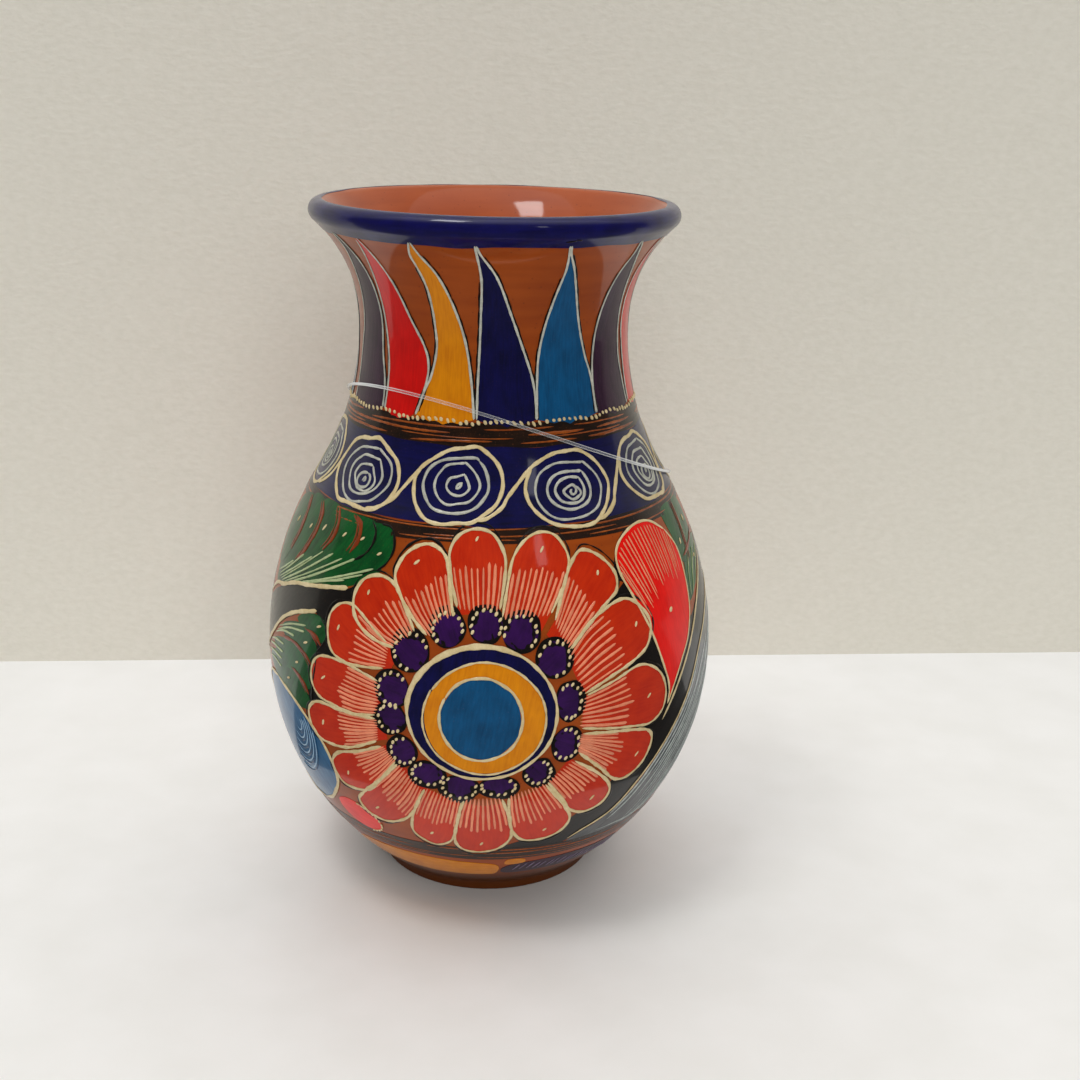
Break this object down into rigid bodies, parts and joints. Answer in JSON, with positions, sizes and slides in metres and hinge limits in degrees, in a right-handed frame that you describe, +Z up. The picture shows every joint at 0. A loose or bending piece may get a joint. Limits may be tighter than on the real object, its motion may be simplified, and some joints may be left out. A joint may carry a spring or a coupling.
{
  "type": "vase",
  "caption": "Hand-painted clay vase with a round belly, a waisted neck and a flared lip, flowers and leaves on the belly, spirals and flames above, and a clear tag thread round the neck.",
  "frame": {"origin": "centre of the flat foot, on the surface that the vase stands on", "axes": "+Z up along the axis of the vase; the main flower faces -Y, with +X to its right"},
  "size_m": [0.133, 0.1338, 0.2004],
  "materials": {
    "clay": "fired red clay under a clear gloss lacquer",
    "navy_paint": "lacquered acrylic paint",
    "red_paint": "lacquered acrylic paint",
    "ochre_paint": "lacquered acrylic paint",
    "sky_paint": "lacquered acrylic paint",
    "plum_paint": "lacquered acrylic paint",
    "brown_paint": "lacquered acrylic paint",
    "orange_paint": "lacquered acrylic paint",
    "green_paint": "lacquered acrylic paint",
    "pink_paint": "lacquered acrylic paint",
    "black_paint": "lacquered acrylic paint",
    "cream_paint": "lacquered acrylic paint",
    "clear_nylon": "clear monofilament"
  },
  "bodies": {
    "root": {"vessel": "clay", "lip_coat": "navy_paint", "flames_red": "red_paint", "flames_ochre": "ochre_paint", "flames_navy": "navy_paint", "flames_sky": "sky_paint", "flames_plum": "plum_paint", "neck_stripes": "brown_paint", "spiral_band": "navy_paint", "shoulder_stripes": "brown_paint", "petals": "orange_paint", "berries": "plum_paint", "flower_line_ring": "cream_paint", "flower_navy_ring": "navy_paint", "flower_gold_ring": "ochre_paint", "flower_eye": "sky_paint", "leaves": "green_paint", "red_pods": "red_paint", "blue_drops": "sky_paint", "pink_buds": "pink_paint", "dark_ground": "black_paint", "foot_stripes": "brown_paint", "foot_gold": "ochre_paint", "foot_plum": "plum_paint", "tag_thread": "clear_nylon", "thread_crimp": "clear_nylon"}
  },
  "joints": []
}
